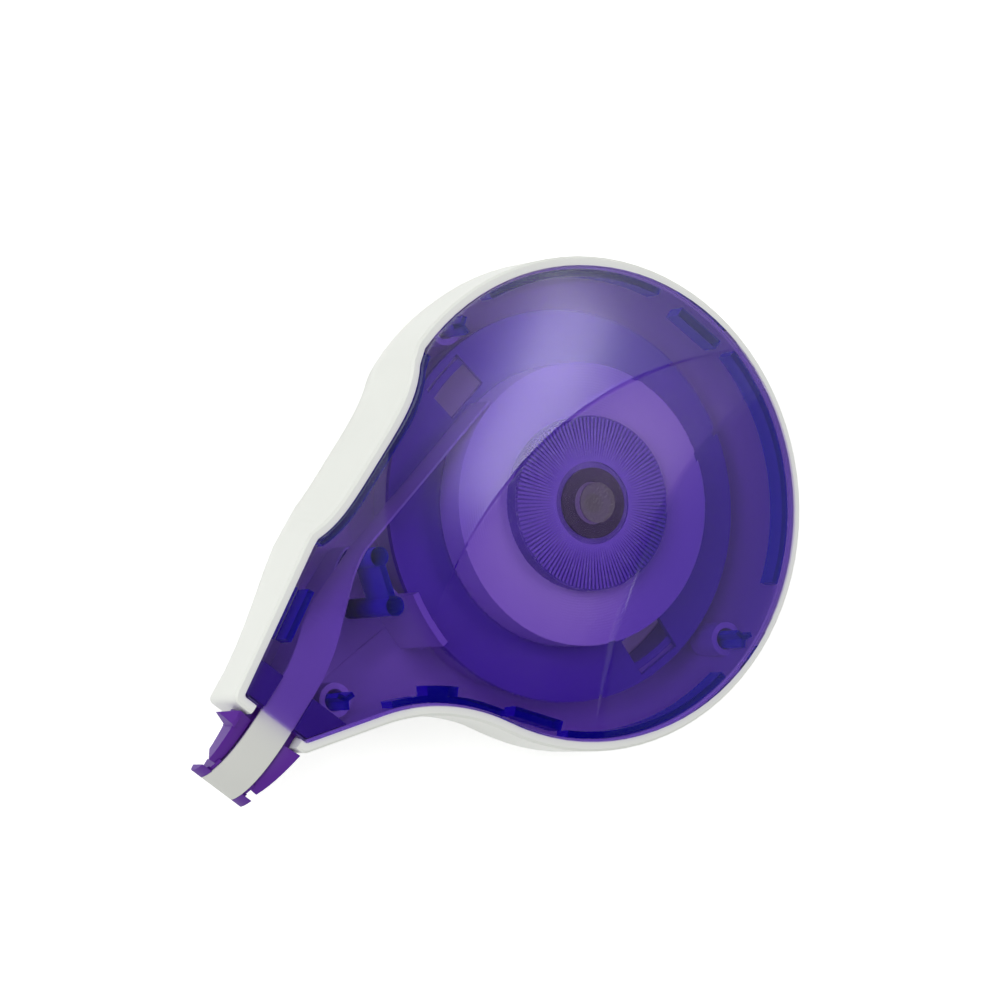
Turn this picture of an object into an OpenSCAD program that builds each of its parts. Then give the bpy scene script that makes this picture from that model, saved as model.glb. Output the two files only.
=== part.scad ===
// Correction tape dispenser: a white back shell, a clear purple cover, two reels on one axle
// and a tape head in the neck. The origin is on the axle at the back face, +Z points out of
// the cover and the head points to -X.

/* [Case] */
// Radius of the round body
case_r = 32.25; // [31:0.05:36]
// Distance from the axle to the front wall of the neck
neck_len = 50.3; // [47:0.1:58]
// Height of the neck's upper front corner
neck_top = 28.2; // [27.5:0.1:29]
// Slope of the neck's upper wall in degrees
neck_lean = 7; // [5:0.5:9]
// Height of the neck's lower front corner
neck_low = 16.1; // [15.2:0.1:16.8]
// Slope of the neck's lower wall in degrees
neck_slope = 38; // [34:0.5:44]
// Radius of the hollow curve between the neck and the round body
blend_r = 25; // [20:0.5:32]
// Radius of the two front corners of the neck
corner_r = 1.2; // [1:0.1:3]
// Wall of the back shell
wall = 1.6; // [1.4:0.1:1.9]
// Floor of the back shell
floor_t = 1.4; // [1:0.1:2]
// Round along the back edge
back_round = 7; // [4:0.1:7.2]
// Round along the back edge at the front of the neck
nose_round = 2.6; // [2.4:0.1:4]
// Lip of the back shell that frames the cover
lip = 1.2; // [0.8:0.1:1.3]
// Distance from the axle at which the underside starts to rise
nose_start = 26; // [24:0.5:30]

/* [Finger rest] */
// Half the length of the hollow in the upper wall
rest_half = 15; // [13:0.1:16]
// Depth of the hollow at the rim
rest_depth = 2.75; // [1:0.05:3.2]
// Distance of the hollow's middle ahead of the axle
rest_x = 14; // [12:0.1:15]
// Lean of the hollow in degrees, which makes it shallower towards the back
rest_lean = 8; // [5:0.5:12]

/* [Cover] */
// Thickness of the cover where it sits in the lip
cover_t = 1.5; // [1.2:0.05:1.8]
// Step of the cover's edge above the lip
cover_step = 0.75; // [0.1:0.05:0.9]
// Rise of the dome above the cover's edge
dome_rise = 2; // [1.4:0.1:3]
// Rise of the hollow under the dome
hollow_rise = 1.55; // [1.2:0.05:1.8]
// Room between the supply roll and the seat of the cover
head_room = 1.4; // [0.4:0.1:2]
// Depth of the thumb channel below the top of the dome
channel_depth = 1; // [0.5:0.05:1.1]
// Radius of the channel's upper ridge
ridge_r1 = 62; // [55:1:75]
// Radius of the channel's lower ridge
ridge_r2 = 53; // [46:1:65]
// Radius of the ring mark over the axle
mark_r = 2.75; // [2:0.05:4]
// Thickness of the ribs under the cover
rib_t = 0.9; // [0.7:0.1:1.2]
// Depth of the ribs under the cover
rib_depth = 3; // [2:0.1:4]
// Radius of the tape guide posts
post_r = 1.3; // [1:0.05:1.6]
// Radius of the three-winged locking pins
pin_r = 1.35; // [1.1:0.05:1.6]
// Radius of the spigot that holds the cover on the axle
spigot_r = 1.2; // [0.8:0.05:1.5]

/* [Tape and reels] */
// Width of the tape
tape_w = 5; // [4:0.1:6]
// Thickness of a free stretch of tape, drawn thicker than real tape
tape_t = 0.3; // [0.2:0.05:0.4]
// Radius of the supply core
core_r = 10.9; // [9:0.1:12]
// Depth of the tape wound on the supply core
tape_depth = 7.6; // [4:0.1:8]
// Depth of the used film wound on the take-up drum
film_depth = 0.7; // [0.4:0.05:1]
// Radial room between the take-up flange and the wall
reel_room = 4.85; // [4.5:0.05:6]
// Width of the take-up flange beyond the drum
flange_lip = 1.5; // [1.2:0.1:2]
// Thickness of the take-up flange
flange_t = 0.8; // [0.6:0.05:1.2]
// Wall of the tubes that the reels are made of
tube_t = 1; // [0.8:0.1:1.3]
// Radius of the axle
axle_r = 2.75; // [2.2:0.05:3]
// Number of fine ribs on the front of the supply core
serrations = 120; // [60:4:140]

/* [Tape head] */
// Length of the tape over the tongue
tongue_len = 12.7; // [11.5:0.1:13.5]
// Slope of the tape at the tip in degrees
tip_slope = 80; // [70:1:84]
// Distance of the tape's path below the middle of the neck
head_drop = 0.9; // [0.5:0.1:1.2]
// Width of the opening in the front wall
mouth_w = 7.6; // [6.8:0.1:8]
// Room under the film in the opening
mouth_room = 0.9; // [0.4:0.05:1.2]
// Width of the tip bar
tip_w = 8.2; // [7.5:0.1:10]
// Width across the side guards at their root
guard_w = 10; // [9.4:0.1:11]
// Distance that each guard narrows by at its nose
guard_taper = 1; // [0.5:0.1:1.4]

/* [Clearances] */
// Radial clearance of the reels on the axle
axle_fit = 0.05; // [0.02:0.01:0.1]
// Clearance between moving pieces
run_gap = 0.3; // [0.2:0.05:0.5]
// Clearance between fixed pieces that fit together
seat_gap = 0.1; // [0.05:0.05:0.2]

/* [Hidden] */
$fn = 96;
sunk = 0.3;
far = 200;

// A unit vector in the plane
function way(a) = [cos(a), sin(a)];

// Heights, stacked from the back
takeup_z = floor_t + run_gap + axle_fit;
flange_z = takeup_z + tape_w;
supply_z = flange_z + flange_t + run_gap;
roll_top = supply_z + tape_w;
seat_z = roll_top + head_room;
cover_top = seat_z + cover_t;
rim_z = cover_top - cover_step;
ceiling_z = seat_z + hollow_rise;
serration_h = 0.25;
disc_t = 0.5;
disc_top = ceiling_z - serration_h - run_gap - 2 * seat_gap;
tape_top = seat_z - 0.45;

// The tape's path over the tongue: a share of its slope grows evenly from flat to tip_slope, and
// the rest with the cube of the way
tongue_steps = 24;
even_share = 0.37;
function tongue_slope(i) =
    let (u = i / tongue_steps) tip_slope * (even_share * u + (1 - even_share) * u * u * u);
function tongue_step(i) = -tongue_len / tongue_steps * way(tongue_slope(i - 0.5));
function tongue_sum(i) = i == 0 ? [0, 0] : tongue_sum(i - 1) + tongue_step(i);
tongue_path = [for (i = [0:tongue_steps]) tongue_sum(i)];
tip_turn = 0.65;
tip_z = tape_top + tongue_path[tongue_steps][1] - tip_turn * cos(tip_slope);
film_z = tip_z - tip_turn + tape_t / 2;
nose_rise = film_z - tape_t / 2 - mouth_room - floor_t;

// Reel radii
roll_r = core_r + tape_depth;
flange_r = case_r - wall - reel_room;
drum_r = flange_r - flange_lip;
film_r = drum_r + film_depth;
bore_r = axle_r + axle_fit;
clutch_r = core_r - 3.5;
clutch_t = 1.6;
groove_depth = flange_t / 2;
inner_round = back_round - floor_t;
head_y = (neck_top + neck_low) / 2 - head_drop;

// The point where two lines meet
function meet(p, a, q, b) = p + way(a) * (cross(q - p, way(b)) / cross(way(a), way(b)));
function smooth(t) = t * t * (3 - 2 * t);

// Outline of the case, whose lines and arcs all move in by the same inset d
top_a = 90 + neck_lean;
top_p = [-neck_len, neck_top];
low_n = way(90 - neck_slope);
low_p = [-neck_len, neck_low];
blend_p = low_p - blend_r * low_n;
blend_b = blend_p * way(-neck_slope);
blend_s = -blend_b - sqrt(blend_b * blend_b - blend_p * blend_p + pow(case_r + blend_r, 2));
blend_c = blend_p + blend_s * way(-neck_slope);
blend_a = atan2(blend_c[1], blend_c[0]);
low_turn = 90 + neck_slope;

function corner_round(d) = max(corner_r - d, 0.4);
function setback(d, turn) = corner_round(d) / tan(turn / 2);
// The point of the upper wall over x
function top_wall(d, x) = meet([x, 0], 90, top_p - d * way(top_a), neck_lean);
function top_corner(d) = top_wall(d, d - neck_len);
function shoulder(d) = top_wall(d, -rest_x - rest_half + 1);
function low_corner(d) = meet([d - neck_len, 0], 90, low_p + d * low_n, -neck_slope);
function top_centre(d) = top_corner(d) + [corner_round(d), -setback(d, top_a)];
function low_centre(d) = low_corner(d) + [corner_round(d), setback(d, low_turn)];
function arc(c, r, a0, a1, n, first = 0) =
    [for (i = [first:n]) c + r * way(a0 + (a1 - a0) * i / n)];
function between(p, q, n) = [for (i = [1:n - 1]) p + (q - p) * i / n];

function plain_outline(d) = concat(
    arc([0, 0], case_r - d, blend_a - (blend_a > 0 ? 360 : 0), 90, 64, 1),
    between([0, case_r - d], shoulder(d), 24),
    [shoulder(d)],
    between(shoulder(d), top_centre(d) + corner_round(d) * way(top_a), 6),
    arc(top_centre(d), corner_round(d), top_a, 180, 5),
    arc(low_centre(d), corner_round(d), 180, 270 - neck_slope, 4),
    arc(blend_c, blend_r + d, 90 - neck_slope, blend_a - (blend_a > 0 ? 180 : -180), 14)
);
// The finger rest's surface over x at height z: flat in the middle, with steep ends
function rest_edge(x, z, d) =
    case_r - d + (rim_z - z) * tan(rest_lean) - rest_depth * (1 - pow((x + rest_x) / rest_half, 4));
function outline(d, z = rim_z) =
    [for (p = plain_outline(d)) [p[0], min(p[1], rest_edge(p[0], z, d))]];

// The underside rises towards the front of the neck, in a soft bend and then straight
nose_bend = 3;
function lift(x) =
    let (u = max(0, -x - nose_start), slope = nose_rise / (neck_len - nose_start - nose_bend))
    slope * (u < 2 * nose_bend ? u * u / (4 * nose_bend) : u - nose_bend);

// Rings of points for a form with a rounded back edge: d is the inset, z the back and r the round,
// which shrinks close to the front of the neck
function raised(p, z) = [p[0], p[1], z + lift(p[0])];
function wall_ring(d, z) = [for (p = outline(d, z)) [p[0], p[1], z]];
function round_share(x, r) = 1 - (back_round - nose_round) / r * pow(lift(x) / nose_rise, 4);
function round_ring(d, z, r, a) =
    let (up = r * (1 - cos(a)), edge = outline(d, z + up),
         inner = outline(d + r * (1 - sin(a)), z + up))
    [for (i = [0:len(edge) - 1]) let (q = round_share(edge[i][0], r))
        raised(edge[i] + q * (inner[i] - edge[i]), z + q * up)];
function floor_rings(ring, z, n) =
    [for (k = [0:n - 1]) [for (p = ring) let (f = [p[0], p[1]])
        raised(f * ((nose_start - 2) / norm(f) * (1 - k / n) + k / n), z)]];
function back_form(d, z, r) = concat(
    floor_rings(round_ring(d, z, r, 0), z, 4),
    [for (i = [0:4]) round_ring(d, z, r, 90 * i / 4)]
);

// Skin over a list of rings, closed by a flat face at each end
module loft(rings) {
    n = len(rings[0]);
    last = (len(rings) - 1) * n;
    sides = [for (k = [0:len(rings) - 2]) for (i = [0:n - 1])
        let (a = k * n + i, b = k * n + (i + 1) % n) each [[a, b + n, b], [a, a + n, b + n]]];
    polyhedron(
        points = [for (r = rings) each r],
        faces = concat([[for (i = [0:n - 1]) i]], sides, [[for (i = [n - 1:-1:0]) last + i]])
    );
}

module back_shell() {
    color("#eceee6") {
        difference() {
            shell_skin();
            mouth_cut();
        }
        axle();
        guard_wall();
        for (p = pins) socket(p);
    }
}

// The outside, the lip, the ledge that the cover sits on and the inside are one skin
module shell_skin() {
    soft = lip / 4;
    inside = back_form(wall, floor_t, inner_round);
    loft(concat(
        back_form(0, 0, back_round),
        [wall_ring(0, rim_z - soft), wall_ring(soft, rim_z), wall_ring(lip, rim_z),
         wall_ring(lip, seat_z), wall_ring(wall, seat_z)],
        [for (i = [len(inside) - 1:-1:0]) inside[i]]
    ));
}

module mouth_cut() {
    translate([-far - neck_len + wall + inner_round, head_y - mouth_w / 2, floor_t + nose_rise])
        cube([far, mouth_w, far]);
}

// The axle stands on a shoulder and takes the cover's spigot in its end
module axle() {
    top = disc_top + serration_h;
    difference() {
        union() {
            translate([0, 0, floor_t - sunk]) cylinder(h = sunk + run_gap, r = axle_r + tube_t);
            translate([0, 0, floor_t - sunk]) cylinder(h = top - floor_t + sunk, r = axle_r);
        }
        translate([0, 0, supply_z]) cylinder(h = far, r = spigot_r + seat_gap);
    }
}

// A short curved wall that keeps loose tape in the neck away from the reels
module guard_wall() {
    r = flange_r + 5 * run_gap;
    rotate([0, 0, 150]) rotate_extrude(angle = 16, $fn = 160)
        translate([r, floor_t - sunk]) square([rib_t, seat_z - 1 - floor_t + sunk]);
}

// Locking pins, two by the round wall and one in the neck. Each has the height of its socket,
// which starts where the back round is wide enough for it.
pin_reach = case_r - wall - pin_r - seat_gap;
neck_pin = low_corner(wall) + [7.5, -2];
pins = [
    for (a = [74, -92]) concat(pin_reach * way(a), [0.6 * back_round]),
    concat(neck_pin, [0.35 * back_round + lift(neck_pin[0])])
];
socket_h = 5.6;

module socket(p) {
    translate(p) difference() {
        cylinder(h = socket_h, r = pin_r + seat_gap + wall / 2, $fn = 48);
        translate([0, 0, floor_t]) cylinder(h = socket_h, r = pin_r + seat_gap, $fn = 48);
    }
}

// Places of the guide posts that the tapes run round
post_reach = flange_r + 5.8;
post_up = post_reach * way(138);
post_low = post_reach * way(150);

module front_cover() {
    color("#5a3a9c", 0.6) {
        difference() {
            cover_plate();
            translate([0, 0, ceiling_z - inner_r]) sphere(r = inner_r, $fn = 400);
            thumb_channel();
            ring_mark();
        }
        for (p = [post_up, post_low]) guide_post(p);
        post_web();
        axle_spigot();
        for (p = pins) locking_pin(p);
        cover_ribs();
    }
}

// Sphere radii from the rise and the reach of the dome, which leaves a flat edge inside and outside
function dome_radius(reach, rise) = (reach * reach + rise * rise) / (2 * rise);
outer_r = dome_radius(case_r - wall, dome_rise);
inner_r = dome_radius(case_r - wall - 2 * rib_t, ceiling_z - seat_z);

module cover_plate() {
    intersection() {
        translate([0, 0, seat_z]) linear_extrude(far) polygon(outline(lip + seat_gap));
        union() {
            translate([0, 0, cover_top + dome_rise - outer_r]) sphere(r = outer_r, $fn = 400);
            translate([-far / 2, -far / 2, seat_z - 1]) cube([far, far, cover_t + 1]);
        }
    }
}

// The channel has a flatter dome for a floor, between two sloping ridges
channel_rise = dome_rise - channel_depth;
channel_z = cover_top + channel_rise;
channel_r = dome_radius(case_r, channel_rise);
ridge_c1 = [-14.5, 12.8 - ridge_r1];
ridge_c2 = [6, -8 - ridge_r2];

module thumb_channel() {
    low = channel_rise + sunk;
    high = channel_depth + 1;
    difference() {
        translate([0, 0, channel_z]) difference() {
            ridge_cone(ridge_c1, ridge_r1, low, high, 1);
            ridge_cone(ridge_c2, ridge_r2, low, high, -1);
        }
        translate([0, 0, channel_z - channel_r]) rotate([90, 0, 0]) sphere(r = channel_r, $fn = 400);
    }
}

// A ridge's side, which spreads upwards for a turn of 1 and draws in for -1
module ridge_cone(c, r, low, high, turn) {
    translate([c[0], c[1], -low])
        cylinder(h = low + high, r1 = r - turn * low, r2 = r + turn * high, $fn = 160);
}

module ring_mark() {
    depth = 0.15;
    translate([0, 0, channel_z - depth]) difference() {
        cylinder(h = 1, r = mark_r);
        translate([0, 0, -1]) cylinder(h = 3, r = mark_r - depth);
    }
}

module guide_post(p) {
    foot = floor_t + run_gap + lift(p[0] - post_r);
    translate([p[0], p[1], foot]) cylinder(h = seat_z + sunk - foot, r = post_r, $fn = 48);
}

// The web joins the two posts above the used film
module post_web() {
    run = post_up - post_low;
    translate([post_low[0], post_low[1], supply_z]) rotate([0, 0, atan2(run[1], run[0])])
        translate([0, -rib_t / 2, 0]) cube([norm(run), rib_t, seat_z + sunk - supply_z]);
}

module locking_pin(p) {
    h = seat_z + sunk - p[2] - 2 * floor_t;
    turn = atan2(p[1], p[0]);
    translate(p + [0, 0, 2 * floor_t]) for (a = [60, 180, 300]) rotate([0, 0, turn + a])
        translate([-pin_r / 4, -pin_r / 4, 0]) cube([pin_r * 1.2, pin_r / 2, h]);
}

module axle_spigot() {
    foot = roll_top - spigot_r;
    translate([0, 0, foot]) cylinder(h = ceiling_z + sunk - foot, r = spigot_r, $fn = 48);
}

// Ribs that centre the cover: arcs along the round wall, the hollow curve and the finger rest
rib_in = wall + seat_gap;
rib_arcs = [[-152, -103], [-75, -13], [13, 63]];
snap_at = [199, -1.5];

module arc_rib(r, t, from, to) {
    rotate([0, 0, from]) rotate_extrude(angle = to - from, $fn = 160)
        translate([r, 0]) square([t, rib_depth + sunk]);
}

module cover_ribs() {
    translate([0, 0, seat_z - rib_depth]) {
        for (a = rib_arcs) arc_rib(case_r - rib_in - rib_t, rib_t, a[0], a[1]);
        for (a = snap_at) snap_bar(a);
        translate([blend_c[0], blend_c[1], 0]) {
            arc_rib(blend_r + rib_in, rib_t, 13, 48);
            arc_rib(blend_r + rib_in, 2.4 * rib_t, 28, 37);
        }
        rest_rib();
        neck_rib();
    }
}

// A straight bar beside the round wall that snaps under the lip
module snap_bar(a) {
    long = 7.2;
    thick = 1.3;
    rotate([0, 0, a]) translate([case_r - rib_in - rib_t - thick, -long / 2, 0])
        cube([thick, long, rib_depth + sunk]);
}

module rest_rib() {
    linear_extrude(rib_depth + sunk) intersection() {
        difference() {
            polygon(outline(rib_in));
            polygon(outline(rib_in + rib_t));
        }
        translate([2 - rest_x - rest_half, 0]) square([2 * rest_half - 1, far]);
    }
}

module neck_rib() {
    p = top_wall(2.6 * wall, -neck_len + 10.7);
    translate([p[0], p[1], 0]) rotate([0, 0, neck_lean]) cube([7.1, rib_t, rib_depth + sunk]);
}

// The tape leaves the mouth, bends down over the tongue and turns round the tip
guard_steps = [4, 18];
front_x = -neck_len - run_gap;
tongue_start = front_x - tongue_path[guard_steps[0]][0];
tape_gap = seat_gap / 2;
block_len = 4.6;

// The point of the path at step i, set back from the tape's outer face by t
function tongue_point(i, t) =
    [tongue_start, tape_top] + tongue_path[i] - t * way(90 + tongue_slope(i));
tip_c = tongue_point(tongue_steps, tip_turn);

// Extrude an x-z profile by the width w about the middle of the head
module across(w) {
    translate([0, head_y + w / 2, 0]) rotate([90, 0, 0]) linear_extrude(w) children();
}

module tape_head() {
    color("#5b2f9e") {
        across(tape_w - 2 * tape_gap) tongue_profile(tape_t + tape_gap);
        tip_zone(0.6) across(tip_w - 2 * rib_t) tongue_profile(tape_t + tape_gap);
        for (s = [1, -1]) {
            tip_ear(s);
            edge_strip(s);
            guard(s);
        }
        barb();
        head_block();
    }
}

// The tongue's side view, set back from the tape's outer face by t
module tongue_profile(t) {
    back = tongue_start + 1;
    low = tip_c[1] - tip_turn + t;
    polygon(concat(
        [[back, low], [back, tape_top - t]],
        [for (i = [0:tongue_steps]) tongue_point(i, t)],
        arc(tip_c, tip_turn - t, 90 + tip_slope, 270, 8, 1)
    ));
}

// What lies within the length l behind the middle of the tip
module tip_zone(l) {
    intersection() {
        children();
        translate([tip_c[0] - far + l, 0, 0]) cube([far, far, far]);
    }
}

// A layer of the width w beside the tape, on the side s
module beside_tape(s, w) {
    translate([0, s * (tape_w / 2 + tape_gap + w / 2), 0]) across(w) children();
}

// Ears of the tip bar that keep the tape from sliding off sideways
module tip_ear(s) {
    tip_zone(0.25) beside_tape(s, (tip_w - tape_w) / 2 - tape_gap) tongue_profile(0);
}

// A thin strip along the tape's edge, from the tip to the nose of the guard
module edge_strip(s) {
    nose_x = tongue_point(guard_steps[1], 0)[0];
    tip_zone(nose_x + rib_t - tip_c[0]) beside_tape(s, rib_t / 2) tongue_profile(tape_t);
}

// A side guard follows the tape's path, with a sloping inner face and a blunt nose
module guard(s) {
    translate([0, head_y, 0]) mirror([0, s < 0 ? 1 : 0, 0])
        loft([for (i = [guard_steps[0]:2:guard_steps[1]]) guard_ring(i)]);
}

function guard_ring(i) =
    let (v = (i - guard_steps[0]) / (guard_steps[1] - guard_steps[0]),
         root = tape_w / 2 + 2 * tape_gap + seat_gap, out = guard_w / 2 - guard_taper * v,
         top = 0.9 * v - 0.6, depth = 2.6, land = 0.25)
    [for (q = [[out - land, top], [out, top], [out, depth], [root, depth], [root, 0.5]])
        let (p = tongue_point(i, q[1])) [p[0], q[0], p[1]]];

// The pointed fin at the root of the guard by the finger rest, whose top slopes down to its tip
module barb() {
    out = guard_w / 2;
    in = out - 0.5;
    tip = out + 1.8;
    top = tape_top + 0.3;
    low = top - 2.4;
    translate([front_x, head_y, 0]) intersection() {
        linear_extrude(far) polygon([[0, in], [0, out], [-1.4, tip], [-2.2, in]]);
        translate([-far / 2, 0, 0]) rotate([90, 0, 90]) linear_extrude(far)
            polygon([[in, low], [in, top], [out, top], [tip, low + 0.6], [tip, low]]);
    }
}

// The block that fills the inside of the case, with grooves for the tape and a neck through the mouth
module head_block() {
    x0 = -neck_len + wall + sunk + seat_gap;
    inset = wall + seat_gap;
    top = seat_z - seat_gap;
    neck_w = mouth_w - 2 * seat_gap;
    groove_w = tape_w + 2 * tape_gap;
    difference() {
        union() {
            intersection() {
                loft(concat(back_form(inset, floor_t + seat_gap, inner_round),
                            [wall_ring(inset, top)], floor_rings(outline(inset), top, 1)));
                translate([x0, 0, 0]) cube([block_len, far, far]);
            }
            translate([front_x - 1.2, head_y - neck_w / 2, film_z + tape_t])
                cube([x0 + neck_len + 2, neck_w, tape_top - film_z - 1.5]);
        }
        translate([-far / 2, head_y - groove_w / 2, tape_top - tape_t - tape_gap])
            cube([far, groove_w, far]);
        translate([-far / 2, head_y - groove_w / 2, film_z + tape_t / 2 + tape_gap - far])
            cube([far, groove_w, far]);
    }
}

// A tube standing on z0
module tube(r_in, r_out, z0, z1) {
    translate([0, 0, z0]) linear_extrude(z1 - z0) difference() {
        circle(r = r_out);
        circle(r = r_in);
    }
}

// The core stands above the tape as a cap with a slightly wider rim
core_lip = 0.5;

module supply_core() {
    color("#3a2a7a") {
        tube(bore_r, core_r + core_lip, disc_top - disc_t, disc_top);
        tube(bore_r, bore_r + tube_t, supply_z, disc_top - disc_t + sunk);
        tube(clutch_r - clutch_t / 2, clutch_r + clutch_t / 2, supply_z, disc_top - disc_t + sunk);
        tube(core_r - tube_t, core_r, supply_z, roll_top + sunk);
        tube(core_r - tube_t, core_r + core_lip, roll_top, disc_top);
        serrated_face();
    }
}

// Fine radial ribs: one toothed outline round the face
module serrated_face() {
    r_in = bore_r + 2.6;
    r_out = core_r + core_lip - 0.2;
    step = 360 / serrations;
    translate([0, 0, disc_top - sunk]) linear_extrude(serration_h + sunk) difference() {
        polygon([for (i = [0:serrations - 1]) each
            [r_in * 1.05 * way(step * i), r_out * way(step * (i + 0.25)),
             r_out * way(step * (i + 0.75))]]);
        circle(r = r_in);
    }
}

module supply_roll() {
    color("#f2f2ee") tube(core_r, roll_r, supply_z, roll_top);
}

module takeup_reel() {
    color("#452a86") {
        difference() {
            tube(bore_r, flange_r, flange_z, flange_z + flange_t);
            for (a = window_at) window(a);
            tube(clutch_r - clutch_t / 2, clutch_r + clutch_t / 2, flange_z + flange_t - groove_depth, far);
        }
        tube(bore_r, bore_r + tube_t, takeup_z, flange_z + sunk);
        tube(drum_r - tube_t, drum_r, takeup_z, flange_z + sunk);
    }
}

// Windows through the flange into the hollow drum
window_at = [81, 250];

module window(a) {
    long = 6.6;
    rotate([0, 0, a]) translate([roll_r + 1, -long / 2, 0])
        cube([flange_r - roll_r - 2, long, far]);
}

module takeup_film() {
    color("#c9c4d6") tube(drum_r, film_r, takeup_z, flange_z);
}

// Rubber ring in the flange's groove, which drags the take-up reel along
module clutch_ring() {
    color("#2a2a30") tube(clutch_r - clutch_t / 2, clutch_r + clutch_t / 2,
                          flange_z + flange_t - groove_depth, supply_z);
}

// Rubber ring under the cover, which steadies the supply reel
module brake_ring() {
    color("#1d1b22") tube(bore_r, bore_r + 1.8, disc_top, disc_top + 0.5);
}

// One ring of a ribbon: centre c, half width vector w and half thickness vector t
function ribbon_ring(c, w, t) = [c - w - t, c + w - t, c + w + t, c - w + t];

// The supply tape leaves the roll, passes over the upper post and turns flat before the mouth
feed_gap = run_gap + tape_t / 2;
feed_roll = roll_r + feed_gap;
feed_post = post_r + seat_gap + tape_t / 2;
feed_a = atan2(post_up[1], post_up[0]) - acos((feed_roll - feed_post) / norm(post_up));
feed_on = post_up + feed_post * way(feed_a);
feed_off = post_up + feed_post * [0, 1];
feed_z = supply_z + tape_w / 2;

// A twist from standing to flat between two points, where u runs from 0 to 1. The edge that
// lies on the side of up, which is 1 or -1, keeps to a smooth line.
function twist_ring(p, q, u, half, up) =
    let (s = smooth(u), a = 90 * s, z0 = p[2] + up * half)
    ribbon_ring([p[0] + (q[0] - p[0]) * u, p[1] + (q[1] - p[1]) * s,
                 z0 + (q[2] - z0) * s - up * half * cos(a)],
                half * [0, -sin(a), cos(a)], tape_t / 2 * [0, cos(a), sin(a)]);
flat_from = -neck_len + wall + block_len + 2 * sunk;

module feed_tape() {
    n = way(feed_a);
    half = tape_w / 2;
    from = concat(feed_off, [feed_z]);
    to = [flat_from, head_y, tape_top - tape_t / 2];
    color("#f2f2ee") loft(concat(
        [for (c = [feed_roll * n, feed_on])
            ribbon_ring(concat(c, [feed_z]), [0, 0, half], tape_t / 2 * concat(n, [0]))],
        [for (i = [0:20]) twist_ring(from, to, i / 20, half, 1)],
        [ribbon_ring([tongue_start, to[1], to[2]], [0, -half, 0], [0, 0, tape_t / 2])]
    ));
}

// The tape on the tongue, round the tip and back under it
module tip_tape() {
    color("#f2f2ee") across(tape_w) {
        difference() {
            tongue_profile(0);
            tongue_profile(tape_t);
            translate([tongue_start, 0]) square(far);
        }
    }
}

// The used film turns upright again, passes the upper post and runs on to the take-up drum
film_post = post_r + seat_gap + tape_t / 2;
film_drum = film_r + run_gap + tape_t / 2;
film_a = atan2(post_up[1], post_up[0]) + acos((film_drum + film_post) / norm(post_up));
film_mid = takeup_z + tape_w / 2;

module return_film() {
    half = tape_w / 2 - run_gap;
    stand = [0, 0, half];
    from = concat(post_up + film_post * [0, 1], [film_mid]);
    to = [flat_from, head_y, film_z];
    color("#c9c4d6") loft(concat(
        [ribbon_ring(concat(film_drum * way(film_a), [film_mid]), stand,
                     -tape_t / 2 * concat(way(film_a), [0]))],
        [for (a = [film_a - 180:15:89])
            ribbon_ring(concat(post_up + film_post * way(a), [film_mid]), stand,
                        tape_t / 2 * concat(way(a), [0]))],
        [for (i = [0:20]) twist_ring(from, to, i / 20, half, -1)],
        [ribbon_ring([tongue_start, to[1], to[2]], [0, -half, 0], [0, 0, tape_t / 2])]
    ));
}

back_shell();
front_cover();
tape_head();
supply_core();
supply_roll();
takeup_reel();
takeup_film();
clutch_ring();
brake_ring();
feed_tape();
tip_tape();
return_film();
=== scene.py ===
"""A correction tape dispenser: finishes, light and camera round its solid model."""

import math

import bpy
from mathutils import Matrix, Quaternion, Vector

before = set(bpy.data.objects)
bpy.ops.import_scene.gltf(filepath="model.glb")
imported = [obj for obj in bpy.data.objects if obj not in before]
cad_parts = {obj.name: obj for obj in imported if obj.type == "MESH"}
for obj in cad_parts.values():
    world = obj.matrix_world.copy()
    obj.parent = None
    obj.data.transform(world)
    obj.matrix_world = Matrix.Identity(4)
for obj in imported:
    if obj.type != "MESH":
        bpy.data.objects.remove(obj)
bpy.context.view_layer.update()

# Camera, in metres and degrees
VIEW_TARGET = Vector((-0.00482, 0.00808, 0.0075))
VIEW_AZIMUTH = 220.9
VIEW_ELEVATION = 60.86
VIEW_ROLL = 83.96
VIEW_DISTANCE = 0.622
VIEW_FIELD = 11.97
SENSOR_MM = 36
CLIP_START = 0.01

# Centre of both reels, the axle and the ring mark
AXLE = (0.0, 0.0)

# Cover plastic: what each metre of it absorbs, and its clear surface
COVER_ABSORPTION = (450, 680, 135)
COVER_CLEAR = (0.98, 0.97, 1.0)
COVER_IOR = 1.08
COVER_ROUGHNESS = 0.02
COAT_ROUGHNESS = 0.17
LAMP_TINT = (0.94, 0.94, 0.96)
# The gloss fades from the body to the neck, between these places along X
NECK_COAT = 0.15
NECK_FROM = -0.032
BODY_FROM = -0.004
# Thumb channel, inside the first ridge's arc and outside the second's: centre and radius
RIDGE_1 = ((-0.0145, -0.0492), 0.0616)
RIDGE_2 = ((0.006, -0.061), 0.0525)
CHANNEL_COAT = 0.3
CHANNEL_ROUGHNESS = 0.22
PEEL_SCALE = 3500
PEEL_DEPTH = 5e-5
# The channel is a little frosted, more so away from the neck
FROST = 0.03
FROST_FROM = -0.002
FROST_TO = 0.014
# Below the seat the cover has only ribs, pins and posts, painted deep blue for the tint of light's long
# path through them, and darkening to navy lower down as painted shade
COVER_SEAT = 0.01425
SEAT_MARGIN = 1e-5
SPIGOT_RADIUS = 0.0015
RIB_PAINTED_BLUE = (0.08, 0.0, 0.75)
RIB_PAINTED_SHADE = (0.015, 0.001, 0.12)
RIB_PAINTED_BLUE_AT = COVER_SEAT - 0.003
RIB_PAINTED_SHADE_AT = COVER_SEAT - 0.009
# Matte disc inside the ring mark over the axle
MARK_RADIUS = 0.00265
MARK_FROM = 0.0163
MARK_SIGHT = 0.35
MARK_GREY = (0.13, 0.10, 0.17)
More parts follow.
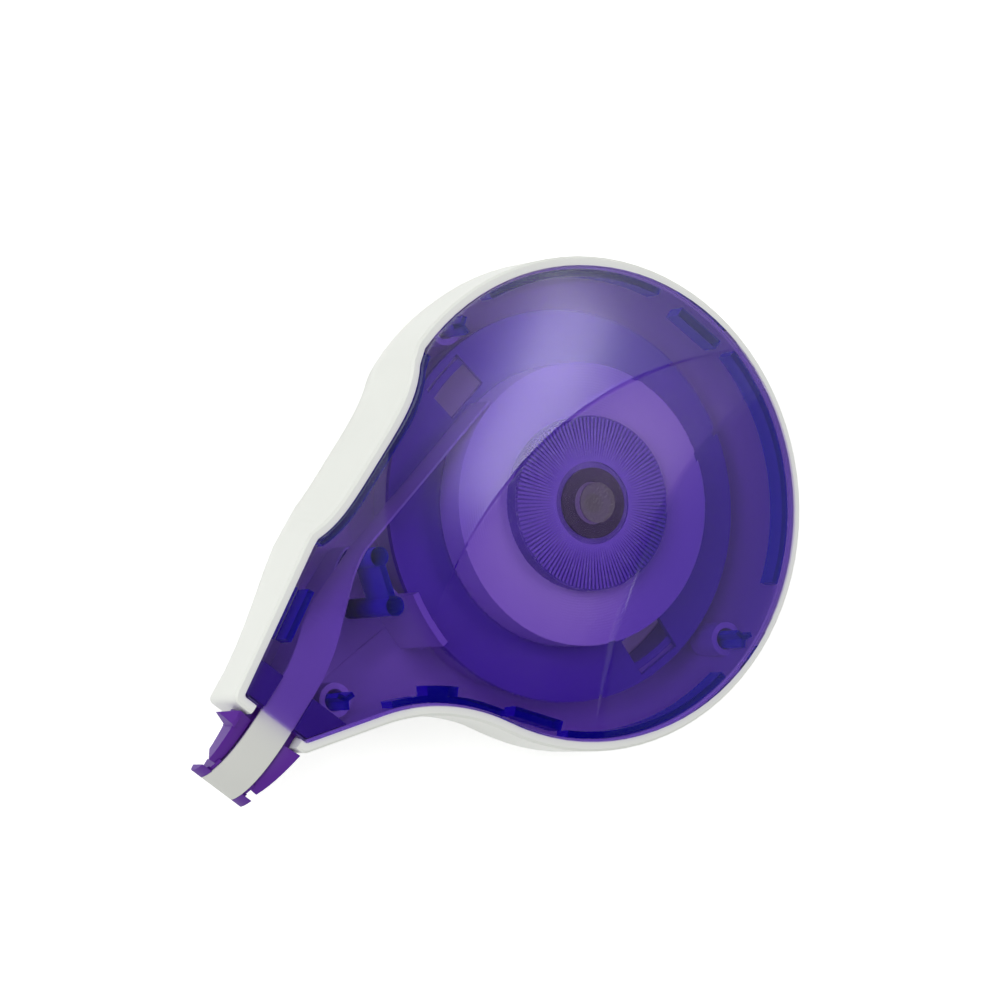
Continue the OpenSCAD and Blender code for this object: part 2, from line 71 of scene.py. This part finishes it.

# Front of the supply core, from the grooves to the tops of its fine ribs, where painted shade turns to
# painted light
CORE_GROOVE = 0.01505
CORE_TOP = 0.0153

# End of the axle
AXLE_RADIUS = 0.0029
AXLE_GREY_FROM = 0.007

# Painted glow on the tub's floor inside the hollow take-up drum, standing in for light that the thin
# white back lets through
TUB_FLOOR = 0.0014
DRUM_RADIUS = 0.0233
PAINTED_BACK_GLOW = 0.12

# Finish colours, linear
SHELL_WHITE = (0.84, 0.86, 0.81)
SHELL_SHADE = (0.80, 0.82, 0.77)
HEAD_PURPLE = (0.105, 0.018, 0.31)
HEAD_SHADE = (0.09, 0.015, 0.26)
REEL_VIOLET = (0.25, 0.15, 0.54)
REEL_SHADE = (0.21, 0.12, 0.47)
# Painted light on the supply core's rib tops, painted shade in its grooves
CORE_PAINTED_LIGHT = (0.34, 0.22, 0.68)
CORE_PAINTED_SHADE = (0.05, 0.015, 0.24)
TAPE_WHITE = (0.72, 0.73, 0.69)
TAPE_SHADE = (0.66, 0.67, 0.63)
ROLL_WHITE = (0.90, 0.90, 0.88)
ROLL_SHADE = (0.82, 0.82, 0.80)
FILM_GREY = (0.62, 0.60, 0.68)
FILM_SHADE = (0.55, 0.53, 0.62)
# Grey on the end of the axle
AXLE_END_GREY = (0.30, 0.26, 0.30)
RUBBER_BLACK = (0.035, 0.03, 0.035)
RUBBER_SHADE = (0.07, 0.06, 0.06)

# Patterns of the finishes: scales in features per metre, and how strong they are
DRIFT_SCALE = 90
WOUND_DRIFT_SCALE = 140
CORE_DRIFT_SCALE = 200
GRAIN_SCALE = 2500
RUBBER_SCALE = 1500
RING_SCALE = 900
PAPER_SCALE = 40
GRAIN_DETAIL = 4.0
ROUGHNESS_DRIFT = 0.05
RING_WOBBLE = 0.6
RING_DEPTH = 2e-5
RING_STRENGTH = 0.5

# Room and floor
HORIZON_LIGHT = 0.75
OVERHEAD_LIGHT = 0.35
FLOOR_WHITE = (0.92, 0.92, 0.92)
FLOOR_SHADE = (0.90, 0.90, 0.90)
FLOOR_ROUGHNESS = 0.9
FLOOR_GLOW = 0.5
FLOOR_SIZE = 4.0

# Lamps a metre away: direction, length along X, width, power in watts
LAMPS = {
    "key": ((-0.25, 0.7, 0.67), 0.6, 0.6, 4.0),
    "strip": ((0.38, -0.245, 0.89), 0.34, 0.1, 0.72),
    "haze": ((0.62, -0.2, 0.76), 0.5, 0.5, 0.6),
}

# Lofted nodes that are shaded smooth, with edges sharper than the crease angle left crisp
LOFTS = ("back_shell", "tape_head", "feed_tape", "tip_tape", "return_film")
CREASE_ANGLE = math.radians(32)
MERGE_DISTANCE = 1e-6


def rgba(colour):
    return (*colour, 1.0)


def link(tree, source, target):
    tree.links.new(source, target)


def math_node(tree, operation, first, second):
    """A Math node whose two inputs are sockets or numbers."""
    node = tree.nodes.new("ShaderNodeMath")
    node.operation = operation
    for socket, value in zip(node.inputs, (first, second)):
        if isinstance(value, (int, float)):
            socket.default_value = value
        else:
            link(tree, value, socket)
    return node.outputs[0]


def product(tree, first, *others):
    """The product of sockets or numbers."""
    for other in others:
        first = math_node(tree, "MULTIPLY", first, other)
    return first


def object_point(tree):
    return tree.nodes.new("ShaderNodeTexCoord").outputs["Object"]


def coordinate(tree, axis):
    """One coordinate of the shaded point in the object's space."""
    split = tree.nodes.new("ShaderNodeSeparateXYZ")
    link(tree, object_point(tree), split.inputs[0])
    return split.outputs[axis]


def above(tree, level):
    """1 over a height, 0 under it."""
    return math_node(tree, "GREATER_THAN", coordinate(tree, "Z"), level)


def inside_circle(tree, centre, radius):
    """1 within a vertical cylinder, 0 outside it."""
    sides = [math_node(tree, "SUBTRACT", coordinate(tree, axis), middle)
             for axis, middle in zip("XY", centre)]
    squares = (product(tree, side, side) for side in sides)
    distance = math_node(tree, "SQRT", math_node(tree, "ADD", *squares), 0.0)
    return math_node(tree, "LESS_THAN", distance, radius)


def noise(tree, scale, detail=2.0):
    """Noise in object space, with its scale in features per metre."""
    node = tree.nodes.new("ShaderNodeTexNoise")
    node.inputs["Scale"].default_value = scale
    node.inputs["Detail"].default_value = detail
    link(tree, object_point(tree), node.inputs["Vector"])
    return node.outputs["Fac"]


def spread(tree, value, low, high, start=0.0, end=1.0):
    """Maps a value from one range to another, from 0 to 1 unless it is given."""
    node = tree.nodes.new("ShaderNodeMapRange")
    node.inputs["From Min"].default_value = start
    node.inputs["From Max"].default_value = end
    node.inputs["To Min"].default_value = low
    node.inputs["To Max"].default_value = high
    link(tree, value, node.inputs["Value"])
    return node.outputs["Result"]


def mixed_colour(tree, factor, first, second):
    """A colour between two colours or colour sockets, by a factor socket."""
    node = tree.nodes.new("ShaderNodeMix")
    node.data_type = "RGBA"
    link(tree, factor, node.inputs["Factor"])
    for name, colour in (("A", first), ("B", second)):
        socket = next(entry for entry in node.inputs if entry.name == name and entry.type == "RGBA")
        if isinstance(colour, tuple):
            socket.default_value = rgba(colour)
        else:
            link(tree, colour, socket)
    return next(entry for entry in node.outputs if entry.type == "RGBA")


def bump(tree, height, distance, strength=1.0):
    """A bump normal from a height socket, with the bump's depth in metres."""
    node = tree.nodes.new("ShaderNodeBump")
    node.inputs["Distance"].default_value = distance
    node.inputs["Strength"].default_value = strength
    link(tree, height, node.inputs["Height"])
    return node.outputs["Normal"]


def new_material(name):
    """A node material with one Principled shader."""
    material = bpy.data.materials.new(name)
    material.use_nodes = True
    return material, material.node_tree, material.node_tree.nodes["Principled BSDF"]


def moulded(name, colour, shade, roughness, grain_depth, grain_scale=GRAIN_SCALE, specular=0.5):
    """Moulded plastic: soft drifts of colour and gloss over a fine grain."""
    material, tree, shader = new_material(name)
    shader.inputs["Specular IOR Level"].default_value = specular
    drift = noise(tree, DRIFT_SCALE)
    grain = noise(tree, grain_scale, GRAIN_DETAIL)
    link(tree, mixed_colour(tree, drift, colour, shade), shader.inputs["Base Color"])
    gloss = spread(tree, drift, roughness - ROUGHNESS_DRIFT, roughness + ROUGHNESS_DRIFT)
    link(tree, gloss, shader.inputs["Roughness"])
    link(tree, bump(tree, grain, grain_depth), shader.inputs["Normal"])
    return material


def ring_lines(tree, scale):
    """Fine rings about the reel axle."""
    node = tree.nodes.new("ShaderNodeTexWave")
    node.wave_type = "RINGS"
    node.rings_direction = "Z"
    node.inputs["Scale"].default_value = scale
    node.inputs["Distortion"].default_value = RING_WOBBLE
    link(tree, object_point(tree), node.inputs["Vector"])
    return node.outputs["Fac"]


def wound(name, colour, shade, roughness):
    """The edge of a wound tape: faint rings and a fine grain."""
    material, tree, shader = new_material(name)
    rings = ring_lines(tree, RING_SCALE)
    drift = product(tree, rings, noise(tree, WOUND_DRIFT_SCALE))
    link(tree, mixed_colour(tree, drift, colour, shade), shader.inputs["Base Color"])
    link(tree, bump(tree, rings, RING_DEPTH, RING_STRENGTH), shader.inputs["Normal"])
    shader.inputs["Roughness"].default_value = roughness
    return material


def grey_axle_end(tree, shader):
    """Grey on the end of the axle."""
    colour = shader.inputs["Base Color"]
    end_mask = product(tree, above(tree, AXLE_GREY_FROM), inside_circle(tree, AXLE, AXLE_RADIUS))
    link(tree, mixed_colour(tree, end_mask, colour.links[0].from_socket, AXLE_END_GREY), colour)


def paint_back_glow(tree, shader):
    """A faint painted glow on the tub's floor inside the drum, standing in for the light that the back
    lets through.
    """
    under = math_node(tree, "LESS_THAN", coordinate(tree, "Z"), 1.5 * TUB_FLOOR)
    lit = product(tree, above(tree, 0.5 * TUB_FLOOR), under, inside_circle(tree, AXLE, DRUM_RADIUS))
    link(tree, spread(tree, lit, 0.0, PAINTED_BACK_GLOW), shader.inputs["Emission Strength"])
    shader.inputs["Emission Color"].default_value = rgba(SHELL_WHITE)


def shell_plastic(name, roughness, grain_depth):
    """White moulded plastic, with a painted glow inside the drum for light through the back, and grey on
    the axle's end.
    """
    material = moulded(name, SHELL_WHITE, SHELL_SHADE, roughness, grain_depth)
    tree = material.node_tree
    shader = tree.nodes["Principled BSDF"]
    grey_axle_end(tree, shader)
    paint_back_glow(tree, shader)
    # The painted glow is only seen, so no light is sampled from it
    material.cycles.emission_sampling = "NONE"
    return material


def ribbed_core(name, roughness, grain_depth):
    """The reel plastic, with painted light on the tops of the fine ribs and painted shade in their
    grooves.
    """
    material, tree, shader = new_material(name)
    # Painted shade in the grooves, painted light on the rib tops
    top = spread(tree, coordinate(tree, "Z"), 0.0, 1.0, CORE_GROOVE, CORE_TOP)
    painted_relief = mixed_colour(tree, top, CORE_PAINTED_SHADE, CORE_PAINTED_LIGHT)
    drift = noise(tree, CORE_DRIFT_SCALE)
    link(tree, mixed_colour(tree, drift, painted_relief, REEL_VIOLET), shader.inputs["Base Color"])
    grain = noise(tree, GRAIN_SCALE, GRAIN_DETAIL)
    link(tree, bump(tree, grain, grain_depth), shader.inputs["Normal"])
    shader.inputs["Roughness"].default_value = roughness
    return material


def thumb_channel(tree):
    """1 in the cover's thumb channel, 0 outside it."""
    return math_node(tree, "SUBTRACT", inside_circle(tree, *RIDGE_1), inside_circle(tree, *RIDGE_2))


def cover_colour(tree, clear, mark):
    """Clear plate; ribs, pins and posts under it painted deep blue, darkening to painted navy shade lower
    down; and the grey ring mark.
    """
    # Painted deep blue, darkening to painted navy shade further down
    deep = spread(tree, coordinate(tree, "Z"), 1.0, 0.0, RIB_PAINTED_SHADE_AT, RIB_PAINTED_BLUE_AT)
    ribs = mixed_colour(tree, deep, RIB_PAINTED_BLUE, RIB_PAINTED_SHADE)
    tint = mixed_colour(tree, clear, ribs, COVER_CLEAR)
    return mixed_colour(tree, mark, tint, MARK_GREY)


def cover_sight(tree, clear, mark, channel):
    """How clearly the cover can be seen through."""
    frost = spread(tree, coordinate(tree, "X"), 0.0, FROST, FROST_FROM, FROST_TO)
    unfrosted = math_node(tree, "SUBTRACT", 1.0, product(tree, channel, frost))
    return product(tree, clear, spread(tree, mark, 1.0, MARK_SIGHT), unfrosted)


def cover_gloss(tree, plate, channel):
    """The weight of the coat: full on the body, less in the channel and towards the neck."""
    sheen = spread(tree, channel, 1.0, CHANNEL_COAT)
    body = spread(tree, coordinate(tree, "X"), NECK_COAT, 1.0, NECK_FROM, BODY_FROM)
    return product(tree, sheen, body, plate)


def clear_to_lamps(tree, shader):
    """Lets lamps and bounced light through the cover to what lies under it."""
    path = tree.nodes.new("ShaderNodeLightPath")
    lamp = math_node(tree, "MAXIMUM", path.outputs["Is Shadow Ray"], path.outputs["Is Diffuse Ray"])
    through = tree.nodes.new("ShaderNodeBsdfTransparent")
    through.inputs["Color"].default_value = rgba(LAMP_TINT)
    choice = tree.nodes.new("ShaderNodeMixShader")
    for source, socket in zip((lamp, shader.outputs[0], through.outputs[0]), choice.inputs):
        link(tree, source, socket)
    link(tree, choice.outputs[0], tree.nodes["Material Output"].inputs["Surface"])


def tint_depth(tree):
    """Tint that deepens with the thickness of the plastic."""
    strongest = max(COVER_ABSORPTION)
    depth = tree.nodes.new("ShaderNodeVolumeAbsorption")
    depth.inputs["Density"].default_value = strongest
    depth.inputs["Color"].default_value = rgba(1 - part / strongest for part in COVER_ABSORPTION)
    link(tree, depth.outputs[0], tree.nodes["Material Output"].inputs["Volume"])


def clear_cover(name):
    """Clear tinted plastic, glossy, with an orange-peel thumb channel between its two ridges."""
    material, tree, shader = new_material(name)
    channel = thumb_channel(tree)
    plate = above(tree, COVER_SEAT - SEAT_MARGIN)
    clear = math_node(tree, "MAXIMUM", plate, inside_circle(tree, AXLE, SPIGOT_RADIUS))
    mark = product(tree, above(tree, MARK_FROM), inside_circle(tree, AXLE, MARK_RADIUS))
    peel = bump(tree, product(tree, noise(tree, PEEL_SCALE, 1.0), channel), PEEL_DEPTH)
    roughness = spread(tree, channel, COVER_ROUGHNESS, CHANNEL_ROUGHNESS)
    link(tree, cover_colour(tree, clear, mark), shader.inputs["Base Color"])
    link(tree, cover_sight(tree, clear, mark, channel), shader.inputs["Transmission Weight"])
    link(tree, cover_gloss(tree, plate, channel), shader.inputs["Coat Weight"])
    link(tree, roughness, shader.inputs["Roughness"])
    link(tree, peel, shader.inputs["Normal"])
    link(tree, peel, shader.inputs["Coat Normal"])
    shader.inputs["IOR"].default_value = COVER_IOR
    shader.inputs["Coat Roughness"].default_value = COAT_ROUGHNESS
    clear_to_lamps(tree, shader)
    tint_depth(tree)
    return material


def dress(node_name, material):
    """Gives a node one material."""
    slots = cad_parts[node_name].data.materials
    slots.clear()
    slots.append(material)


def dress_nodes():
    """The finish of every node."""
    tape = moulded("tape_face", TAPE_WHITE, TAPE_SHADE, roughness=0.55, grain_depth=8e-6)
    rubber = moulded("rubber", RUBBER_BLACK, RUBBER_SHADE, roughness=0.75, grain_depth=6e-5,
                     grain_scale=RUBBER_SCALE)
    finishes = {
        "back_shell": shell_plastic("shell_plastic", roughness=0.38, grain_depth=6e-6),
        "front_cover": clear_cover("cover_plastic"),
        "tape_head": moulded("head_plastic", HEAD_PURPLE, HEAD_SHADE, roughness=0.4, grain_depth=8e-6,
                             specular=0.25),
        "supply_core": ribbed_core("core_plastic", roughness=0.35, grain_depth=1e-5),
        "supply_roll": wound("wound_tape", ROLL_WHITE, ROLL_SHADE, roughness=0.6),
        "takeup_reel": moulded("reel_plastic", REEL_VIOLET, REEL_SHADE, roughness=0.35, grain_depth=1e-5),
        "takeup_film": wound("wound_film", FILM_GREY, FILM_SHADE, roughness=0.4),
        "clutch_ring": rubber,
        "brake_ring": rubber,
        "feed_tape": tape,
        "tip_tape": tape,
        "return_film": moulded("film_face", FILM_GREY, FILM_SHADE, roughness=0.3, grain_depth=4e-6),
    }
    for node_name, material in finishes.items():
        dress(node_name, material)


def smooth_group():
    """Geometry nodes that shade a faceted loft smooth and keep its creases."""
    group = bpy.data.node_groups.new("smooth_loft", "GeometryNodeTree")
    for way in ("INPUT", "OUTPUT"):
        group.interface.new_socket("Geometry", in_out=way, socket_type="NodeSocketGeometry")
    entry = group.nodes.new("NodeGroupInput")
    merge = group.nodes.new("GeometryNodeMergeByDistance")
    merge.inputs["Distance"].default_value = MERGE_DISTANCE
    drop = group.nodes.new("GeometryNodeRemoveAttribute")
    drop.inputs["Name"].default_value = "custom_normal"
    soft = group.nodes.new("GeometryNodeSetShadeSmooth")
    crisp = group.nodes.new("GeometryNodeSetShadeSmooth")
    crisp.domain = "EDGE"
    crisp.inputs["Shade Smooth"].default_value = False
    angle = group.nodes.new("GeometryNodeInputMeshEdgeAngle")
    over = group.nodes.new("FunctionNodeCompare")
    over.operation = "GREATER_THAN"
    over.inputs["B"].default_value = CREASE_ANGLE
    leave = group.nodes.new("NodeGroupOutput")
    link(group, angle.outputs["Unsigned Angle"], over.inputs["A"])
    link(group, over.outputs["Result"], crisp.inputs["Selection"])
    chain = (entry, merge, drop, soft, crisp, leave)
    for first, second in zip(chain, chain[1:]):
        link(group, first.outputs["Geometry"], second.inputs["Geometry"])
    return group


def smooth_lofts(node_names):
    group = smooth_group()
    for node_name in node_names:
        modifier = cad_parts[node_name].modifiers.new("smooth_loft", "NODES")
        modifier.node_group = group


def make_world():
    """A white room, bright at the horizon and dim overhead."""
    world = bpy.data.worlds.new("studio")
    bpy.context.scene.world = world
    world.use_nodes = True
    tree = world.node_tree
    background = tree.nodes["Background"]
    split = tree.nodes.new("ShaderNodeSeparateXYZ")
    link(tree, tree.nodes.new("ShaderNodeTexCoord").outputs["Generated"], split.inputs[0])
    level = spread(tree, split.outputs["Z"], HORIZON_LIGHT, OVERHEAD_LIGHT)
    link(tree, level, background.inputs["Strength"])
    background.inputs["Color"].default_value = (1, 1, 1, 1)


def seen_directly(tree):
    """1 for rays that see the surface straight, mirrored or through clear plastic."""
    path = tree.nodes.new("ShaderNodeLightPath")
    sight = math_node(tree, "MAXIMUM", path.outputs["Is Camera Ray"], path.outputs["Is Glossy Ray"])
    return math_node(tree, "MAXIMUM", sight, path.outputs["Is Transmission Ray"])


def floor_paper(name):
    """White paper that glows a little for rays that see it directly."""
    material, tree, shader = new_material(name)
    paper = noise(tree, PAPER_SCALE)
    link(tree, mixed_colour(tree, paper, FLOOR_WHITE, FLOOR_SHADE), shader.inputs["Base Color"])
    shader.inputs["Roughness"].default_value = FLOOR_ROUGHNESS
    shader.inputs["Specular IOR Level"].default_value = 0.0
    glow = tree.nodes.new("ShaderNodeEmission")
    link(tree, spread(tree, seen_directly(tree), 0.0, FLOOR_GLOW), glow.inputs["Strength"])
    both = tree.nodes.new("ShaderNodeAddShader")
    link(tree, shader.outputs[0], both.inputs[0])
    link(tree, glow.outputs[0], both.inputs[1])
    link(tree, both.outputs[0], tree.nodes["Material Output"].inputs["Surface"])
    return material


def make_floor():
    """A plain white floor that keeps the shadow."""
    bpy.ops.mesh.primitive_plane_add(size=FLOOR_SIZE)
    floor = bpy.context.object
    floor.name = "floor"
    floor.data.materials.append(floor_paper("floor_white"))


def softbox(name, direction, length, width, power):
    """An oblong area lamp a metre away that faces the object, with its length along X."""
    lamp = bpy.data.lights.new(name, "AREA")
    lamp.shape = "RECTANGLE"
    lamp.size = length
    lamp.size_y = width
    lamp.energy = power
    outward = Vector(direction).normalized()
    across = outward.cross(Vector((1, 0, 0))).normalized()
    along = across.cross(outward)
    holder = bpy.data.objects.new(name, lamp)
    holder.location = VIEW_TARGET + outward
    holder.rotation_mode = "QUATERNION"
    holder.rotation_quaternion = Matrix((along, across, outward)).transposed().to_quaternion()
    bpy.context.scene.collection.objects.link(holder)


def make_camera():
    camera = bpy.data.cameras.new("camera")
    camera.sensor_width = SENSOR_MM
    camera.lens = camera.sensor_width / 2 / math.tan(math.radians(VIEW_FIELD) / 2)
    camera.clip_start = CLIP_START
    holder = bpy.data.objects.new("camera", camera)
    turn = math.radians(VIEW_AZIMUTH)
    rise = math.radians(VIEW_ELEVATION)
    back = Vector((math.sin(turn) * math.cos(rise), -math.cos(turn) * math.cos(rise), math.sin(rise)))
    roll = Quaternion((0, 0, 1), math.radians(VIEW_ROLL))
    holder.location = VIEW_TARGET + back * VIEW_DISTANCE
    holder.rotation_mode = "QUATERNION"
    holder.rotation_quaternion = (-back).to_track_quat("-Z", "Y") @ roll
    bpy.context.scene.collection.objects.link(holder)
    bpy.context.scene.camera = holder


bpy.context.scene.view_settings.view_transform = "Standard"
dress_nodes()
smooth_lofts(LOFTS)
make_world()
make_floor()
for lamp_name, lamp_values in LAMPS.items():
    softbox(lamp_name, *lamp_values)
make_camera()
